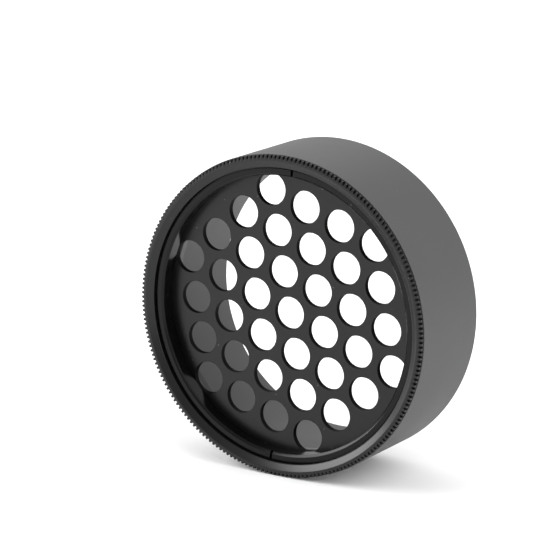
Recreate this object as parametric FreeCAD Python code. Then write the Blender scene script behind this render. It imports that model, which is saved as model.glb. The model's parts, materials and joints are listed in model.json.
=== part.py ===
"""Grid-fronted snoot end: a short turned sleeve that carries a perforated disc behind a knurled ring.

Axes: +Z up, the bore runs along Y, and the perforated front faces -Y.
Origin: on the bore axis, in the plane of the shoulder that seats against the light.
Each station along the axis is a distance forward of that shoulder, so its y is the negative of it.
"""
import FreeCAD, Part
import math
import os

# Driving dimensions, in millimetres and degrees
HOLE_PITCH = 8.8
HOLE_RADIUS = 3.48
HOLE_RINGS = 3
PATTERN_TURN = 9.92

BORE_RADIUS = 30.1
GRID_BORE_RADIUS = 29.75
SLEEVE_RADIUS = 34.35
SLEEVE_LENGTH = 22.3
EDGE_CHAMFER = 0.15

SPIGOT_RADIUS = 31.0
SPIGOT_LENGTH = 3.7
SPIGOT_CHAMFER = 0.35
RELIEF_WIDTH = 0.6
RELIEF_DEPTH = 0.5

DISC_FRONT = 18.45
DISC_THICKNESS = 1.2
DISC_RADIUS = 31.3

SEAT_PLAY = 0.05
THREAD_CLEARANCE = 0.05

RING_REAR = 15.4
RING_BARREL_RADIUS = 32.95
RING_THREAD_RADIUS = 31.6
RING_MOUTH_RADIUS = 31.75
RING_CREST_RADIUS = 33.0
RING_FRONT = 23.25
RING_MOUTH_DEPTH = 0.85
RING_SHELF_CHAMFER = 0.4
SOCKET_END_GAP = 0.3

KNURL_TEETH = 216
KNURL_TIP_RADIUS = 34.2
KNURL_ROOT_RADIUS = 33.58
KNURL_BEVEL = 0.12

RETAINER_HEIGHT = 3.2
RETAINER_RELIEF = 0.3
RETAINER_CHAMFER_RADIAL = 0.5
RETAINER_CHAMFER_AXIAL = 0.4
SLOT_WIDTH = 0.55
SLOT_DEPTH = 1.0
SLOT_TURN = 85.3

# Stations worked out from the dimensions above
DISC_BACK = DISC_FRONT - DISC_THICKNESS
RING_SHELF = DISC_BACK - SEAT_PLAY
RING_FLANGE = SLEEVE_LENGTH + SEAT_PLAY
RETAINER_REAR = DISC_FRONT + SEAT_PLAY
RETAINER_FRONT = RETAINER_REAR + RETAINER_HEIGHT
SOCKET_FLOOR = RING_REAR - SOCKET_END_GAP
SOCKET_RADIUS = RING_BARREL_RADIUS + THREAD_CLEARANCE

AXIS_START = FreeCAD.Vector(0, 0, 0)
AXIS = FreeCAD.Vector(0, 1, 0)


def turned(profile):
    """Solid of revolution about the bore axis, from a closed list of (radius, station) corners."""
    corners = [FreeCAD.Vector(radius, -station, 0) for radius, station in profile]
    wire = Part.makePolygon(corners + corners[:1])
    return Part.Face(wire).revolve(AXIS_START, AXIS, 360)


def polar(radius, station, angle):
    """Point at an angle seen from the front, counted from +X towards +Z."""
    turn = math.radians(angle)
    return FreeCAD.Vector(radius * math.cos(turn), -station, radius * math.sin(turn))


def hole_centres():
    """Centres of a hexagonal pattern of close-packed holes, row by row."""
    centres = []
    for row in range(-HOLE_RINGS, HOLE_RINGS + 1):
        count = 2 * HOLE_RINGS + 1 - abs(row)
        for place in range(count):
            across = (place - (count - 1) / 2) * HOLE_PITCH
            along = row * HOLE_PITCH * math.sqrt(3) / 2
            # The pattern's corners point straight up before it is turned
            centres.append((math.hypot(across, along), math.degrees(math.atan2(across, along))))
    return [(radius, angle + PATTERN_TURN) for radius, angle in centres]


def sleeve():
    """Plain outer tube with the threaded spigot at the rear and the socket for the ring in front."""
    return turned([
        (BORE_RADIUS, -SPIGOT_LENGTH),
        (SPIGOT_RADIUS - SPIGOT_CHAMFER, -SPIGOT_LENGTH),
        (SPIGOT_RADIUS, -SPIGOT_LENGTH + SPIGOT_CHAMFER),
        (SPIGOT_RADIUS, -RELIEF_WIDTH),
        (SPIGOT_RADIUS - RELIEF_DEPTH, -RELIEF_WIDTH),
        (SPIGOT_RADIUS - RELIEF_DEPTH, 0),
        (SLEEVE_RADIUS - EDGE_CHAMFER, 0),
        (SLEEVE_RADIUS, EDGE_CHAMFER),
        (SLEEVE_RADIUS, SLEEVE_LENGTH),
        (SOCKET_RADIUS, SLEEVE_LENGTH),
        (SOCKET_RADIUS, SOCKET_FLOOR),
        (BORE_RADIUS, SOCKET_FLOOR),
    ])


def knurled_blank():
    """Toothed plate as thick as the ring's flange."""
    corners = []
    for tooth in range(KNURL_TEETH):
        angle = 360 * tooth / KNURL_TEETH
        half_step = 180 / KNURL_TEETH
        corners.append(polar(KNURL_TIP_RADIUS, RING_FLANGE, angle))
        corners.append(polar(KNURL_ROOT_RADIUS, RING_FLANGE, angle + half_step))
    wire = Part.makePolygon(corners + corners[:1])
    return Part.Face(wire).extrude(FreeCAD.Vector(0, RING_FLANGE - RING_FRONT, 0))


def front_ring():
    """Knurled ring that screws into the sleeve and holds the disc on its inner shelf."""
    envelope = turned([
        (GRID_BORE_RADIUS, RING_REAR),
        (RING_BARREL_RADIUS, RING_REAR),
        (RING_BARREL_RADIUS, RING_FLANGE),
        (KNURL_TIP_RADIUS, RING_FLANGE),
        (KNURL_TIP_RADIUS, RING_FRONT - KNURL_BEVEL),
        (RING_CREST_RADIUS, RING_FRONT),
        (RING_MOUTH_RADIUS, RING_FRONT - RING_MOUTH_DEPTH),
        (RING_THREAD_RADIUS, RING_FRONT - RING_MOUTH_DEPTH),
        (RING_THREAD_RADIUS, RING_SHELF),
        (GRID_BORE_RADIUS + RING_SHELF_CHAMFER, RING_SHELF),
        (GRID_BORE_RADIUS, RING_SHELF - RING_SHELF_CHAMFER),
    ])
    barrel_zone = Part.makeCylinder(RING_BARREL_RADIUS, RING_FRONT, AXIS_START, -AXIS)
    return envelope.common(knurled_blank().fuse(barrel_zone)).removeSplitter()


def grid_disc():
    """Thin round plate with the hexagonal pattern of round holes."""
    base = FreeCAD.Vector(0, -DISC_FRONT, 0)
    plate = Part.makeCylinder(DISC_RADIUS, DISC_THICKNESS, base, AXIS)
    drills = []
    for radius, angle in hole_centres():
        start = polar(radius, DISC_FRONT + 1, angle)
        drills.append(Part.makeCylinder(HOLE_RADIUS, DISC_THICKNESS + 2, start, AXIS))
    return plate.cut(Part.makeCompound(drills))


def retaining_ring():
    """Threaded ring that holds the disc down, turned down to its thread's root at the front.

    Two driver slots lie across its front face.
    """
    outer = RING_THREAD_RADIUS - THREAD_CLEARANCE
    ring = turned([
        (GRID_BORE_RADIUS, RETAINER_REAR),
        (outer, RETAINER_REAR),
        (outer, RETAINER_FRONT - RETAINER_RELIEF),
        (outer - RETAINER_RELIEF, RETAINER_FRONT - RETAINER_RELIEF),
        (outer - RETAINER_RELIEF, RETAINER_FRONT),
        (GRID_BORE_RADIUS + RETAINER_CHAMFER_RADIAL, RETAINER_FRONT),
        (GRID_BORE_RADIUS, RETAINER_FRONT - RETAINER_CHAMFER_AXIAL),
    ])
    corner = FreeCAD.Vector(-outer - 1, -RETAINER_FRONT - 1, -SLOT_WIDTH / 2)
    slot = Part.makeBox(2 * outer + 2, SLOT_DEPTH + 1, SLOT_WIDTH, corner)
    slot.rotate(AXIS_START, AXIS, -SLOT_TURN)
    return ring.cut(slot)


def export(name, shape):
    """Write one sub-part as a solid."""
    shape = shape.Solids[0] if len(shape.Solids) == 1 else shape
    shape.exportStep("parts/" + name + ".step")
    print(name, shape.isValid(), len(shape.Solids), round(shape.Volume, 1), shape.BoundBox)


os.makedirs("parts", exist_ok=True)
export("sleeve", sleeve())
export("front_ring", front_ring())
export("grid_disc", grid_disc())
export("retaining_ring", retaining_ring())
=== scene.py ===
"""Looks of a grid-fronted snoot end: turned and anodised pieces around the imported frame.

Profiles are lists of (radius, station) in millimetres. A station is a distance forward of the rear
shoulder, so it is the negative of the frame's y. The perforated front faces -Y.
"""

import bmesh
import bpy
import json
import math
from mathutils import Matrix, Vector


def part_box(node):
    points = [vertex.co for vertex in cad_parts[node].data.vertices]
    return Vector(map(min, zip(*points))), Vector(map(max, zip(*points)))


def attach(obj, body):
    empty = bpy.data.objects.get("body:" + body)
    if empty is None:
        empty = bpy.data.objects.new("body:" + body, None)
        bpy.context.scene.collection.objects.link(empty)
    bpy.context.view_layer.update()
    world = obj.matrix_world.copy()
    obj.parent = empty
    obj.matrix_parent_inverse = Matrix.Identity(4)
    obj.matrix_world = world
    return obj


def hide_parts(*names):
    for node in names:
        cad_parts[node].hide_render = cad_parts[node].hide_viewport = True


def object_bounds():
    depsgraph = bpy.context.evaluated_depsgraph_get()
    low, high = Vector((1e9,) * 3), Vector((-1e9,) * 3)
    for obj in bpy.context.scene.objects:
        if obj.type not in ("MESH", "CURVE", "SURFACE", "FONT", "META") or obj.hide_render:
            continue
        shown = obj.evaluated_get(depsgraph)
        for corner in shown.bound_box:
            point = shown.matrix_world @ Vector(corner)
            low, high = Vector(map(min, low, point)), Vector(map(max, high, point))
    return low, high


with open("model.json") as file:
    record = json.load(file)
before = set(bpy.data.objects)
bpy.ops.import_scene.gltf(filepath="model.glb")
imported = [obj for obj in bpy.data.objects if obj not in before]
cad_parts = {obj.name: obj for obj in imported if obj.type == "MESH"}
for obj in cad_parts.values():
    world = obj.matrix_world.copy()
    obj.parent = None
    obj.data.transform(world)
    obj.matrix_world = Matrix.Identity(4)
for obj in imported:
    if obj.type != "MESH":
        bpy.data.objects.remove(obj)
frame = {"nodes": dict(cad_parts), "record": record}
cad_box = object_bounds()

MM = 0.001
TAU = 2 * math.pi


# ---------------------------------------------------------------- sizes read from the frame

def extent(node):
    """Outer radius, rear station and front station of a CAD node, in millimetres."""
    low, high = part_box(node)
    return high.x / MM, -high.y / MM, -low.y / MM


SLEEVE_RADIUS, SPIGOT_END, SLEEVE_FRONT = extent("sleeve")
KNURL_TIP_RADIUS, RING_REAR, RING_FRONT = extent("front_ring")
DISC_RADIUS, DISC_BACK, DISC_FRONT = extent("grid_disc")
RETAINER_RADIUS, RETAINER_REAR, RETAINER_FRONT = extent("retaining_ring")
MOUNTS = {mount["name"]: mount for mount in frame["record"]["mounts"]}
SPIGOT_RADIUS = MOUNTS["rear_thread"]["dims"]["r_mm"]
BORE_RADIUS = MOUNTS["light_bore"]["dims"]["r_mm"]

# ---------------------------------------------------------------- other sizes, in millimetres

HOLE_PITCH = 8.8
HOLE_RADIUS = 3.48
HOLE_RINGS = 3
PATTERN_TURN = 9.92             # in degrees
BROKEN_EDGE = 0.04
HOLE_SEGMENTS = 72
DISC_SEGMENTS = 360

GRID_BORE_RADIUS = 29.75
SEAT_PLAY = 0.05
SOCKET_RADIUS = 33.0
SOCKET_FLOOR = 15.1
BARREL_RADIUS = 32.95
RING_THREAD_RADIUS = 31.6
RING_MOUTH_RADIUS = 31.75
RING_MOUTH_DEPTH = 0.85
RING_CREST_RADIUS = 33.0
RING_SHELF_CHAMFER = 0.4
RING_SHELF = DISC_BACK - SEAT_PLAY
RING_FLANGE = SLEEVE_FRONT + SEAT_PLAY

THREAD_PITCH = 0.75
THREAD_DEPTH = 0.4
THREAD_ROWS_PER_TURN = 8
GROOVE_HALF_WIDTH = 0.44        # as a share of the pitch
SPIGOT_CHAMFER = 0.35
RELIEF_WIDTH = 0.6
RELIEF_DEPTH = 0.5
BARREL_THREAD_LENGTH = 3.3
SPIGOT_THREAD_LEAD = 0.2        # plain stretch at the end, before the thread begins
BARREL_THREAD_LEAD = 0.2
SOCKET_THREAD_LEAD = 0.4
RETAINER_THREAD_LEAD = 0.1

KNURL_TEETH = 216
KNURL_ROOT_RADIUS = 33.58
KNURL_LAND = 0.4
KNURL_GAP = 0.26
KNURL_BEVEL = 0.12

RETAINER_RELIEF = 0.3
RETAINER_CHAMFER_RADIAL = 0.5
RETAINER_CHAMFER_AXIAL = 0.4
SLOT_WIDTH = 0.55
SLOT_DEPTH = 1.0
SLOT_TURN = 85.3                # in degrees

SLEEVE_SEGMENTS = 480
RETAINER_HALF_SEGMENTS = 180    # from one driver slot to the other

BROAD_FILLET = 0.15
MIDDLE_FILLET = 0.1
EDGE_FILLET = 0.08
FINE_FILLET = 0.05
TURNED_DOWN_FILLET = 0.04
CREST_FILLET = 0.25
LARGEST_FILLET_SHARE = 0.45     # of the shorter side beside a corner

ARC_STEP = math.radians(20)
SMOOTH_LIMIT = math.radians(32)
SAME_RADIUS = 1e-4
SAME_PLACE = 1e-7               # in metres


# ---------------------------------------------------------------- profiles

def rounded(corners):
    """Outline through (radius, station, fillet) corners, each rounded by an arc of its fillet radius.

    A fillet that is too large for the sides beside its corner is made smaller.
    """
    outline = []
    count = len(corners)
    for index, (radius, station, fillet) in enumerate(corners):
        here = Vector((radius, station))
        before = Vector(corners[index - 1][:2]) - here
        after = Vector(corners[(index + 1) % count][:2]) - here
        opening = before.angle(after)
        turn = math.pi - opening
        if fillet == 0 or turn < ARC_STEP / 2:
            outline.append((radius, station))
            continue
        reach = fillet / math.tan(opening / 2)
        reach = min(reach, LARGEST_FILLET_SHARE * before.length, LARGEST_FILLET_SHARE * after.length)
        fillet = reach * math.tan(opening / 2)
        centre_way = (before.normalized() + after.normalized()).normalized()
        centre = here + centre_way * fillet / math.sin(opening / 2)
        start = here + before.normalized() * reach - centre
        end = here + after.normalized() * reach - centre
        steps = max(2, math.ceil(turn / ARC_STEP))
        sweep = start.angle_signed(end)
        for step in range(steps + 1):
            angle = -sweep * step / steps
            spoke = Vector((start.x * math.cos(angle) - start.y * math.sin(angle),
                            start.x * math.sin(angle) + start.y * math.cos(angle)))
            outline.append(tuple(centre + spoke))
    return outline


def thread_rows(radius, start, end):
    """Corners spaced closely enough along a cylinder to carry a thread."""
    rows = math.ceil(abs(end - start) / THREAD_PITCH * THREAD_ROWS_PER_TURN)
    return [(radius, start + (end - start) * row / rows, 0) for row in range(rows + 1)]


def groove(station, angle):
    """Depth from 0 to 1 of a right-hand thread's V groove."""
    phase = (station / THREAD_PITCH - angle / TAU) % 1
    return max(0.0, 1 - abs(phase - 0.5) / GROOVE_HALF_WIDTH)


def faded(station, start, end):
    """1 inside a stretch, falling to 0 over half a pitch at each of its ends."""
    inside = min(station - start, end - station)
    return min(1.0, max(0.0, inside / (THREAD_PITCH / 2)))


# ---------------------------------------------------------------- meshes

def finished(name, bm):
    """Object from a mesh with smooth faces, crisp edges and no doubled corners."""
    bmesh.ops.remove_doubles(bm, verts=bm.verts, dist=SAME_PLACE)
    bmesh.ops.dissolve_degenerate(bm, edges=bm.edges, dist=SAME_PLACE)
    bmesh.ops.recalc_face_normals(bm, faces=bm.faces)
    mesh = bpy.data.meshes.new(name)
    bm.to_mesh(mesh)
    bm.free()
    mesh.shade_smooth()
    mesh.set_sharp_from_angle(angle=SMOOTH_LIMIT)
    piece = bpy.data.objects.new(name, mesh)
    bpy.context.scene.collection.objects.link(piece)
    normals = piece.modifiers.new("flat_faces_stay_flat", "WEIGHTED_NORMAL")
    normals.keep_sharp = True
    return piece


def lathe(name, outline, angles, shaped):
    """Closed ring swept round the bore axis, at (angle, mark) pairs.

    shaped takes a point's radius, station, angle and mark, and gives its new radius and station.
    """
    bm = bmesh.new()
    rings = []
    for angle, mark in angles:
        ring = []
        for radius, station in outline:
            radius, station = shaped(radius, station, angle, mark)
            corner = (radius * math.cos(angle), -station, radius * math.sin(angle))
            ring.append(bm.verts.new(Vector(corner) * MM))
        rings.append(ring)
    for turn, ring in enumerate(rings):
        following = rings[(turn + 1) % len(rings)]
        for place in range(len(outline)):
            beyond = (place + 1) % len(outline)
            bm.faces.new((ring[place], ring[beyond], following[beyond], following[place]))
    return finished(name, bm)


def even_angles(count):
    """Angles once round, with no mark."""
    return [(TAU * index / count, 0) for index in range(count)]


def knurl_angles():
    """Four angles a tooth: both ends of its land and both ends of the gap after it."""
    angles = []
    for tooth in range(KNURL_TEETH):
        for share, mark in ((-KNURL_LAND / 2, 1), (KNURL_LAND / 2, 1),
                            (0.5 - KNURL_GAP / 2, 0), (0.5 + KNURL_GAP / 2, 0)):
            angles.append((TAU * (tooth + share) / KNURL_TEETH, mark))
    return angles


def slot_angles(count):
    """Even angles, count from slot to slot, with both edges of each driver slot doubled.

    Mark 1 is inside a slot.
    """
    half = SLOT_WIDTH / 2 / GRID_BORE_RADIUS
    angles = []
    for side in (0, math.pi):
        middle = math.radians(SLOT_TURN) + side
        angles += [(middle - half, 0), (middle - half, 1), (middle + half, 1), (middle + half, 0)]
        first = middle + half
        stretch = math.pi - 2 * half
        angles += [(first + stretch * index / count, 0) for index in range(1, count)]
    return angles


def make_sleeve():
    """Plain tube with a threaded spigot behind and a threaded socket in front."""
    thread_start = SPIGOT_END + SPIGOT_THREAD_LEAD
    thread_end = -RELIEF_WIDTH
    relief_radius = SPIGOT_RADIUS - RELIEF_DEPTH
    socket_start = SOCKET_FLOOR + SOCKET_THREAD_LEAD
    socket_end = socket_start + BARREL_THREAD_LENGTH
    outline = rounded(
        [(BORE_RADIUS, SPIGOT_END, BROAD_FILLET),
         (SPIGOT_RADIUS - SPIGOT_CHAMFER, SPIGOT_END, MIDDLE_FILLET)]
        + thread_rows(SPIGOT_RADIUS, SPIGOT_END + SPIGOT_CHAMFER, thread_end)
        + [(relief_radius, -RELIEF_WIDTH, MIDDLE_FILLET), (relief_radius, 0, MIDDLE_FILLET),
           (SLEEVE_RADIUS, 0, BROAD_FILLET), (SLEEVE_RADIUS, SLEEVE_FRONT, EDGE_FILLET),
           (SOCKET_RADIUS, SLEEVE_FRONT, BROAD_FILLET)]
        + thread_rows(SOCKET_RADIUS, socket_end, socket_start)
        + [(SOCKET_RADIUS, SOCKET_FLOOR, 0), (BORE_RADIUS, SOCKET_FLOOR, BROAD_FILLET)])

    def threaded(radius, station, angle, mark):
        depth = THREAD_DEPTH * groove(station, angle)
        if abs(radius - SPIGOT_RADIUS) < SAME_RADIUS:
            radius -= depth * faded(station, thread_start, thread_end)
        if abs(radius - SOCKET_RADIUS) < SAME_RADIUS:
            radius += depth * faded(station, socket_start, socket_end)
        return radius, station

    return lathe("sleeve_tube", outline, even_angles(SLEEVE_SEGMENTS), threaded)


def make_front_ring():
    """Knurled flange in front of a threaded barrel, with a shelf and a thread inside."""
    thread_start = RING_REAR + BARREL_THREAD_LEAD
    thread_end = RING_REAR + BARREL_THREAD_LENGTH
    mouth = RING_FRONT - RING_MOUTH_DEPTH
    bevel_at_root = RING_FRONT - (KNURL_BEVEL * (KNURL_ROOT_RADIUS - RING_CREST_RADIUS)
                                  / (KNURL_TIP_RADIUS - RING_CREST_RADIUS))
    outline = rounded(
        [(GRID_BORE_RADIUS, RING_REAR, MIDDLE_FILLET)]
        + thread_rows(BARREL_RADIUS, RING_REAR, thread_end)
        + [(BARREL_RADIUS, RING_FLANGE, 0), (KNURL_ROOT_RADIUS, RING_FLANGE, 0),
           (KNURL_TIP_RADIUS, RING_FLANGE, 0), (KNURL_TIP_RADIUS, RING_FRONT - KNURL_BEVEL, 0),
           (KNURL_ROOT_RADIUS, bevel_at_root, 0), (RING_CREST_RADIUS, RING_FRONT, CREST_FILLET),
           (RING_MOUTH_RADIUS, mouth, FINE_FILLET)]
        + thread_rows(RING_THREAD_RADIUS, mouth - FINE_FILLET, RING_SHELF)
        + [(GRID_BORE_RADIUS + RING_SHELF_CHAMFER, RING_SHELF, 0),
           (GRID_BORE_RADIUS, RING_SHELF - RING_SHELF_CHAMFER, 0)])

    def toothed(radius, station, angle, mark):
        depth = THREAD_DEPTH * groove(station, angle)
        if abs(radius - BARREL_RADIUS) < SAME_RADIUS:
            radius -= depth * faded(station, thread_start, thread_end)
        if abs(radius - RING_THREAD_RADIUS) < SAME_RADIUS:
            radius += depth * faded(station, RING_SHELF, RETAINER_FRONT - RETAINER_RELIEF)
        if radius > KNURL_ROOT_RADIUS and not mark:
            radius = KNURL_ROOT_RADIUS
        return radius, station

    return lathe("knurled_ring", outline, knurl_angles(), toothed)


def make_retainer():
    """Threaded ring, turned down in front, with a chamfered mouth and two driver slots."""
    slot_floor = RETAINER_FRONT - SLOT_DEPTH
    thread_start = RETAINER_REAR + RETAINER_THREAD_LEAD
    turned_down = RETAINER_RADIUS - RETAINER_RELIEF
    outline = rounded(
        [(GRID_BORE_RADIUS, RETAINER_REAR, EDGE_FILLET)]
        + thread_rows(RETAINER_RADIUS, RETAINER_REAR, slot_floor)
        + [(RETAINER_RADIUS, RETAINER_FRONT - RETAINER_RELIEF, 0),
           (turned_down, RETAINER_FRONT - RETAINER_RELIEF, 0),
           (turned_down, RETAINER_FRONT, TURNED_DOWN_FILLET),
           (GRID_BORE_RADIUS + RETAINER_CHAMFER_RADIAL, RETAINER_FRONT, FINE_FILLET),
           (GRID_BORE_RADIUS, RETAINER_FRONT - RETAINER_CHAMFER_AXIAL, FINE_FILLET),
           (GRID_BORE_RADIUS, slot_floor, 0)])

    def slotted(radius, station, angle, mark):
        if abs(radius - RETAINER_RADIUS) < SAME_RADIUS:
            radius -= THREAD_DEPTH * groove(station, angle) * faded(station, thread_start, slot_floor)
        return radius, min(station, slot_floor) if mark else station

    return lathe("slotted_ring", outline, slot_angles(RETAINER_HALF_SEGMENTS), slotted)


def hole_centres():
    """Centres of the hexagonal pattern, as (x, z) seen from the front."""
    centres = []
    turn = math.radians(PATTERN_TURN)
    for row in range(-HOLE_RINGS, HOLE_RINGS + 1):
        count = 2 * HOLE_RINGS + 1 - abs(row)
        for place in range(count):
            upright = (place - (count - 1) / 2) * HOLE_PITCH
            sideways = row * HOLE_PITCH * math.sqrt(3) / 2
            centres.append((sideways * math.cos(turn) - upright * math.sin(turn),
                            sideways * math.sin(turn) + upright * math.cos(turn)))
    return centres


def rim(bm, centre, radius, station, segments):
    """Ring of corners in a plane of constant station."""
    corners = []
    for index in range(segments):
        angle = TAU * index / segments
        corner = (centre[0] + radius * math.cos(angle), -station, centre[1] + radius * math.sin(angle))
        corners.append(bm.verts.new(Vector(corner) * MM))
    return corners


def wall(bm, rims):
    """Bands of faces from one rim to the next, in the second material, whose darker, duller finish is
    painted shade.
    """
    for first, second in zip(rims, rims[1:]):
        for index in range(len(first)):
            beyond = (index + 1) % len(first)
            face = bm.faces.new((first[index], first[beyond], second[beyond], second[index]))
            face.material_index = 1


def make_disc():
    """Thin plate with lightly broken edges round its holes and its rim."""
    bm = bmesh.new()
    loops = [((0, 0), DISC_RADIUS, -BROKEN_EDGE, DISC_SEGMENTS)]
    loops += [(centre, HOLE_RADIUS, BROKEN_EDGE, HOLE_SEGMENTS) for centre in hole_centres()]
    front_edges, back_edges = [], []
    for centre, radius, edge, segments in loops:
        rims = [rim(bm, centre, radius + edge, DISC_FRONT, segments),
                rim(bm, centre, radius, DISC_FRONT - BROKEN_EDGE, segments),
                rim(bm, centre, radius, DISC_BACK + BROKEN_EDGE, segments),
                rim(bm, centre, radius + edge, DISC_BACK, segments)]
        wall(bm, rims)
        for corners, edges in ((rims[0], front_edges), (rims[-1], back_edges)):
            edges += [bm.edges.get((corners[index - 1], corners[index])) for index in range(segments)]
    for edges in (front_edges, back_edges):
        bmesh.ops.triangle_fill(bm, use_beauty=True, use_dissolve=False, edges=edges,
                                normal=(0, 1, 0))
    return finished("perforated_disc", bm)


# ---------------------------------------------------------------- materials

NOISE_ROUGHNESS = 0.55
NOISE_LOW = 0.3
NOISE_HIGH = 0.7

DUST_SPACING = 3.0              # in millimetres
DUST_SIZE = 0.3                 # in millimetres
DUST_SHARE = 0.6
DUST_COLOUR = (0.35, 0.34, 0.33, 1)

ANODISED_IOR = 1.6
CLOUD_SCALE = 60.0              # in cells a metre
CLOUD_SHARE = 0.6
SPECK_SHARE = 0.4
SPECKS_PER_GRAIN = 0.6
COLOUR_RAMP_ENDS = (0.35, 0.65)
COLOUR_RAMP_TONES = (0.88, 1.12)
BLUE_OF_GREY = 1.03
ROUGHNESS_SPREAD = 0.03
TOOL_MARK_SPACING = 0.12        # in millimetres

PAPER_MOTTLE_SCALE = 4.0        # in cells a metre
PAPER_MOTTLE_DEPTH = 0.01


def add_node(tree, kind, **settings):
    """New node with its inputs or properties set."""
    node = tree.nodes.new(kind)
    for key, value in settings.items():
        if key in node.inputs:
            node.inputs[key].default_value = value
        else:
            setattr(node, key, value)
    return node


def noise(tree, scale, detail=3.0):
    """Noise in object coordinates. scale is in cells a metre."""
    place = add_node(tree, "ShaderNodeTexCoord")
    texture = add_node(tree, "ShaderNodeTexNoise", Scale=scale, Detail=detail,
                       Roughness=NOISE_ROUGHNESS)
    tree.links.new(place.outputs["Object"], texture.inputs["Vector"])
    return texture.outputs["Fac"]


def ranged(tree, value, low, high):
    """A noise's value mapped so that its usual lowest and highest give low and high."""
    scaler = add_node(tree, "ShaderNodeMapRange")
    scaler.inputs["From Min"].default_value = NOISE_LOW
    scaler.inputs["From Max"].default_value = NOISE_HIGH
    scaler.inputs["To Min"].default_value = low
    scaler.inputs["To Max"].default_value = high
    tree.links.new(value, scaler.inputs["Value"])
    return scaler.outputs["Result"]


def turning_marks(tree, spacing):
    """Fine rings that a lathe tool leaves: a wave over the radius plus the station."""
    place = add_node(tree, "ShaderNodeTexCoord")
    split = add_node(tree, "ShaderNodeSeparateXYZ")
    tree.links.new(place.outputs["Object"], split.inputs["Vector"])
    flat = add_node(tree, "ShaderNodeCombineXYZ")
    tree.links.new(split.outputs["X"], flat.inputs["X"])
    tree.links.new(split.outputs["Z"], flat.inputs["Z"])
    radius = add_node(tree, "ShaderNodeVectorMath", operation="LENGTH")
    tree.links.new(flat.outputs["Vector"], radius.inputs[0])
    total = add_node(tree, "ShaderNodeMath", operation="ADD")
    tree.links.new(radius.outputs["Value"], total.inputs[0])
    tree.links.new(split.outputs["Y"], total.inputs[1])
    line = add_node(tree, "ShaderNodeCombineXYZ")
    tree.links.new(total.outputs["Value"], line.inputs["X"])
    wave = add_node(tree, "ShaderNodeTexNoise", Scale=1 / (spacing * MM), Detail=2.0)
    tree.links.new(line.outputs["Vector"], wave.inputs["Vector"])
    return wave.outputs["Fac"]


def dusted(tree, colour):
    """colour with a few pale specks of dust, where a scattered point lies just at the surface."""
    place = add_node(tree, "ShaderNodeTexCoord")
    scatter = add_node(tree, "ShaderNodeTexVoronoi", Scale=1 / (DUST_SPACING * MM))
    tree.links.new(place.outputs["Object"], scatter.inputs["Vector"])
    speck = add_node(tree, "ShaderNodeMapRange")
    speck.inputs["From Min"].default_value = 0.5 * DUST_SIZE / DUST_SPACING
    speck.inputs["From Max"].default_value = 0
    speck.inputs["To Min"].default_value = 0
    speck.inputs["To Max"].default_value = DUST_SHARE
    tree.links.new(scatter.outputs["Distance"], speck.inputs["Value"])
    mixer = add_node(tree, "ShaderNodeMixRGB", Color2=DUST_COLOUR)
    tree.links.new(speck.outputs["Result"], mixer.inputs["Fac"])
    tree.links.new(colour, mixer.inputs["Color1"])
    return mixer.outputs["Color"]


def anodised(name, tone, roughness, grain, grain_depth, specular, turned=0.0):
    """Dyed anodised aluminium.

    tone is its mean grey. grain and grain_depth are the size and height of its fine texture, and
    turned is the height of its tool marks, all in millimetres.
    """
    material = bpy.data.materials.new(name)
    material.use_nodes = True
    tree = material.node_tree
    shader = tree.nodes["Principled BSDF"]
    shader.inputs["IOR"].default_value = ANODISED_IOR
    shader.inputs["Specular IOR Level"].default_value = specular
    cloud = noise(tree, CLOUD_SCALE)
    speck = noise(tree, SPECKS_PER_GRAIN / (grain * MM), detail=4.0)
    mixed = add_node(tree, "ShaderNodeMath", operation="MULTIPLY_ADD")
    tree.links.new(cloud, mixed.inputs[0])
    mixed.inputs[1].default_value = CLOUD_SHARE
    weighted = add_node(tree, "ShaderNodeMath", operation="MULTIPLY")
    tree.links.new(speck, weighted.inputs[0])
    weighted.inputs[1].default_value = SPECK_SHARE
    tree.links.new(weighted.outputs["Value"], mixed.inputs[2])
    ramp = add_node(tree, "ShaderNodeValToRGB")
    for element, position, share in zip(ramp.color_ramp.elements, COLOUR_RAMP_ENDS, COLOUR_RAMP_TONES):
        grey = tone * share
        element.position = position
        element.color = (grey, grey, grey * BLUE_OF_GREY, 1)
    tree.links.new(mixed.outputs["Value"], ramp.inputs["Fac"])
    tree.links.new(dusted(tree, ramp.outputs["Color"]), shader.inputs["Base Color"])
    gloss = ranged(tree, cloud, roughness - ROUGHNESS_SPREAD, roughness + ROUGHNESS_SPREAD)
    tree.links.new(gloss, shader.inputs["Roughness"])
    bump = add_node(tree, "ShaderNodeBump", Strength=1.0, Distance=grain_depth * MM)
    tree.links.new(noise(tree, 1 / (grain * MM), detail=2.0), bump.inputs["Height"])
    if turned:
        marks = add_node(tree, "ShaderNodeBump", Strength=1.0, Distance=turned * MM)
        tree.links.new(turning_marks(tree, TOOL_MARK_SPACING), marks.inputs["Height"])
        tree.links.new(marks.outputs["Normal"], bump.inputs["Normal"])
    tree.links.new(bump.outputs["Normal"], shader.inputs["Normal"])
    return material


def paper(name, tone, roughness):
    """Plain pale studio surface with a faint mottle."""
    material = bpy.data.materials.new(name)
    material.use_nodes = True
    tree = material.node_tree
    shader = tree.nodes["Principled BSDF"]
    shader.inputs["Roughness"].default_value = roughness
    mottle = noise(tree, PAPER_MOTTLE_SCALE)
    shade = ranged(tree, mottle, tone - PAPER_MOTTLE_DEPTH, tone + PAPER_MOTTLE_DEPTH)
    colour = add_node(tree, "ShaderNodeCombineColor")
    for channel in ("Red", "Green", "Blue"):
        tree.links.new(shade, colour.inputs[channel])
    tree.links.new(colour.outputs["Color"], shader.inputs["Base Color"])
    return material


# ---------------------------------------------------------------- the studio

CAMERA_AZIMUTH = math.radians(32.35)
CAMERA_ELEVATION = math.radians(13.43)
CAMERA_PLACE = Vector((0.2953, -0.4936, 0.1436))
CAMERA_LENS = 186.9
SENSOR_WIDTH = 36.0
CAMERA_CLIP_START = 0.01

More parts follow.
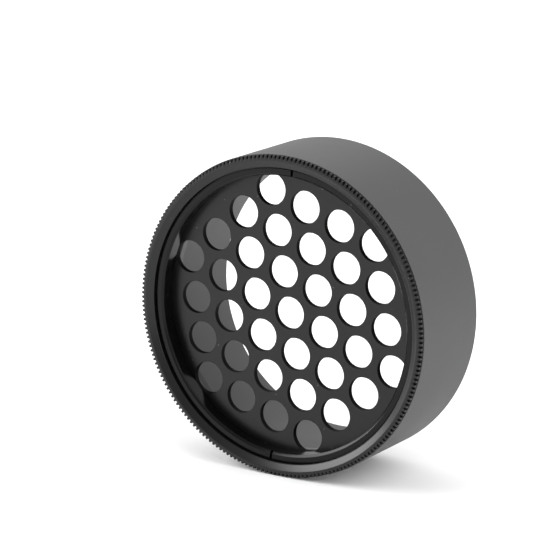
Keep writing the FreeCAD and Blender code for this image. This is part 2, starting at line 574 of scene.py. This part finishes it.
FLOOR_RADIUS = 6.0
FLOOR_SEGMENTS = 96
FLOOR_TONE = 0.85
FLOOR_ROUGHNESS = 0.6

# Ways and places are seen from the origin, and each light shines towards it
DIM_END = Vector((-0.5, -0.8, 0.3))
DIM_START = 0.0
SKY_BRIGHT = 0.92
SKY_DIM = 0.45
TOP_WAY = Vector((-0.3, 0.45, 0.84))
TOP_ANGLE = math.radians(35)
TOP_STRENGTH = 0.6
FILL_WAY = Vector((0.8, -0.12, 0.6))
FILL_ANGLE = math.radians(70)
FILL_STRENGTH = 2.4
SIDE_PLACE = (-1.1, -0.55, 0.6)
SIDE_SIZE = 1.0
SIDE_POWER = 23.0


def add_camera():
    """Long lens, level horizon, looking along the given azimuth and elevation."""
    data = bpy.data.cameras.new("camera")
    data.lens = CAMERA_LENS
    data.sensor_width = SENSOR_WIDTH
    data.clip_start = CAMERA_CLIP_START
    camera = bpy.data.objects.new("camera", data)
    camera.location = CAMERA_PLACE
    camera.rotation_euler = (math.pi / 2 - CAMERA_ELEVATION, 0, CAMERA_AZIMUTH)
    bpy.context.scene.collection.objects.link(camera)
    bpy.context.scene.camera = camera


def add_light(name, kind, place, energy):
    """Light that shines from a place towards the origin. Gives the light's data."""
    data = bpy.data.lights.new(name, kind)
    data.energy = energy
    light = bpy.data.objects.new(name, data)
    light.location = place
    light.rotation_euler = Vector(place).to_track_quat("Z", "Y").to_euler()
    bpy.context.scene.collection.objects.link(light)
    return data


def add_floor():
    """Round pale floor under the part."""
    bm = bmesh.new()
    bmesh.ops.create_circle(bm, cap_ends=True, segments=FLOOR_SEGMENTS, radius=FLOOR_RADIUS)
    mesh = bpy.data.meshes.new("floor")
    bm.to_mesh(mesh)
    bm.free()
    floor = bpy.data.objects.new("floor", mesh)
    floor.location.z = cad_box[0].z
    mesh.materials.append(paper("floor_paper", FLOOR_TONE, FLOOR_ROUGHNESS))
    bpy.context.scene.collection.objects.link(floor)


def add_sky():
    """White surroundings that fall off towards the dim end of the room, in front and to the left."""
    world = bpy.data.worlds.new("studio")
    world.use_nodes = True
    tree = world.node_tree
    background = tree.nodes["Background"]
    background.inputs["Color"].default_value = (1, 1, 1, 1)
    place = add_node(tree, "ShaderNodeTexCoord")
    towards = add_node(tree, "ShaderNodeVectorMath", operation="DOT_PRODUCT")
    tree.links.new(place.outputs["Generated"], towards.inputs[0])
    towards.inputs[1].default_value = DIM_END
    level = add_node(tree, "ShaderNodeMapRange", interpolation_type="SMOOTHSTEP")
    level.inputs["From Min"].default_value = DIM_START
    level.inputs["From Max"].default_value = 1.0
    level.inputs["To Min"].default_value = SKY_BRIGHT
    level.inputs["To Max"].default_value = SKY_DIM
    tree.links.new(towards.outputs["Value"], level.inputs["Value"])
    tree.links.new(level.outputs["Result"], background.inputs["Strength"])
    bpy.context.scene.world = world


# ---------------------------------------------------------------- assembly

PIECES = (
    (make_sleeve, "sleeve", "sleeve", "anodised_body",
     dict(tone=0.027, roughness=0.54, grain=0.12, grain_depth=0.01, specular=0.58)),
    (make_front_ring, "front_ring", "ring", "anodised_ring",
     dict(tone=0.002, roughness=0.3, grain=0.08, grain_depth=0.004, turned=0.006, specular=0.28)),
    (make_disc, "grid_disc", "grid", "anodised_disc",
     dict(tone=0.002, roughness=0.3, grain=0.1, grain_depth=0.006, specular=0.25)),
    (make_retainer, "retaining_ring", "retainer", "anodised_retainer",
     dict(tone=0.002, roughness=0.22, grain=0.08, grain_depth=0.003, turned=0.004, specular=0.14)),
)

# Hole and rim walls: darker and barely reflecting. This is painted shade that blackens the walls seen
# inside the holes.
WALL_SHADE_FINISH = dict(tone=0.001, roughness=0.6, grain=0.15, grain_depth=0.02, specular=0.03)


def add_piece(make, node, body, slot, finish):
    """Build one piece over its CAD node, give it its finish and let it ride on its body."""
    piece = make()
    material = anodised(slot, **finish)
    piece.data.materials.append(material)
    if node == "grid_disc":
        # The disc's second material, on its walls, carries painted shade.
        piece.data.materials.append(anodised("punched_edge", **WALL_SHADE_FINISH))
    frame["nodes"][node].data.materials.clear()
    frame["nodes"][node].data.materials.append(material)
    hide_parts(node)
    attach(piece, body)


bpy.context.scene.view_settings.view_transform = "Standard"
add_camera()
add_sky()
add_floor()
add_light("overhead", "SUN", TOP_WAY, TOP_STRENGTH).angle = TOP_ANGLE
add_light("fill", "SUN", FILL_WAY, FILL_STRENGTH).angle = FILL_ANGLE
add_light("side_softbox", "AREA", SIDE_PLACE, SIDE_POWER).size = SIDE_SIZE
for details in PIECES:
    add_piece(*details)
